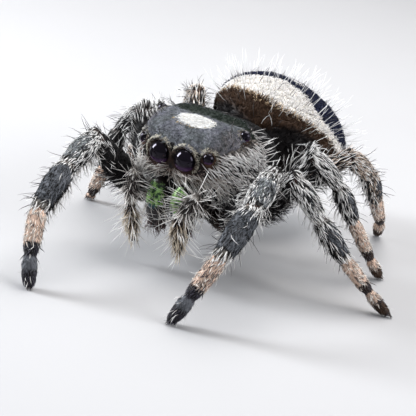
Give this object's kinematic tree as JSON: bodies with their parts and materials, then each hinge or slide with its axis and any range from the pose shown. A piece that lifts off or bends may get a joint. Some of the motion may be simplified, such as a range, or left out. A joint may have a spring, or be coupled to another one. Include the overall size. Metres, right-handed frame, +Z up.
{
  "type": "jumping spider",
  "caption": "Life-size still model of a hairy grey and black jumping spider, standing with its front legs reaching forward.",
  "frame": {"origin": "middle of the spider's box, on the level that its feet stand on", "axes": "the head faces -Y, the spider's own left side is +X, +Z is up"},
  "size_m": [0.0134, 0.0166, 0.0052],
  "materials": {
    "coat_black": "black hair with a pale fringe",
    "coat_pale": "white and grey hair",
    "coat_slate": "short flat slate-grey scales",
    "coat_peach": "peach hair with a dark ring",
    "velvet": "dark brown velvet with a cream band",
    "under_body": "thin grey-brown hair over dark skin",
    "chelicera": "iridescent green",
    "eye": "wet black lens"
  },
  "bodies": {
    "root": {"eye_front_left": "eye", "eye_front_right": "eye", "eye_side_left": "eye", "eye_side_right": "eye", "eye_small_left": "eye", "eye_small_right": "eye", "eye_rear_left": "eye", "eye_rear_right": "eye", "carapace": "coat_slate", "sternum_and_coxae": "under_body", "abdomen": "velvet", "spinnerets": "under_body", "chelicera_left": "chelicera", "chelicera_right": "chelicera", "leg1_left_femur": "coat_black", "leg1_left_patella": "coat_pale", "leg1_left_tibia": "coat_slate", "leg1_left_metatarsus": "coat_peach", "leg1_left_tarsus": "coat_black", "leg1_right_femur": "coat_black", "leg1_right_patella": "coat_pale", "leg1_right_tibia": "coat_slate", "leg1_right_metatarsus": "coat_peach", "leg1_right_tarsus": "coat_black", "leg2_left_femur": "coat_black", "leg2_left_patella": "coat_pale", "leg2_left_tibia": "coat_slate", "leg2_left_metatarsus": "coat_peach", "leg2_left_tarsus": "coat_black", "leg2_right_femur": "coat_black", "leg2_right_patella": "coat_pale", "leg2_right_tibia": "coat_slate", "leg2_right_metatarsus": "coat_peach", "leg2_right_tarsus": "coat_black", "leg3_left_femur": "coat_black", "leg3_left_patella": "coat_pale", "leg3_left_tibia": "coat_slate", "leg3_left_metatarsus": "coat_peach", "leg3_left_tarsus": "coat_black", "leg3_right_femur": "coat_black", "leg3_right_patella": "coat_pale", "leg3_right_tibia": "coat_slate", "leg3_right_metatarsus": "coat_peach", "leg3_right_tarsus": "coat_black", "leg4_left_femur": "coat_black", "leg4_left_patella": "coat_pale", "leg4_left_tibia": "coat_slate", "leg4_left_metatarsus": "coat_peach", "leg4_left_tarsus": "coat_black", "leg4_right_femur": "coat_black", "leg4_right_patella": "coat_pale", "leg4_right_tibia": "coat_slate", "leg4_right_metatarsus": "coat_peach", "leg4_right_tarsus": "coat_black", "palp_left_femur": "coat_black", "palp_left_tibia": "coat_pale", "palp_left_tarsus": "coat_black", "palp_right_femur": "coat_black", "palp_right_tibia": "coat_pale", "palp_right_tarsus": "coat_black"}
  },
  "joints": []
}
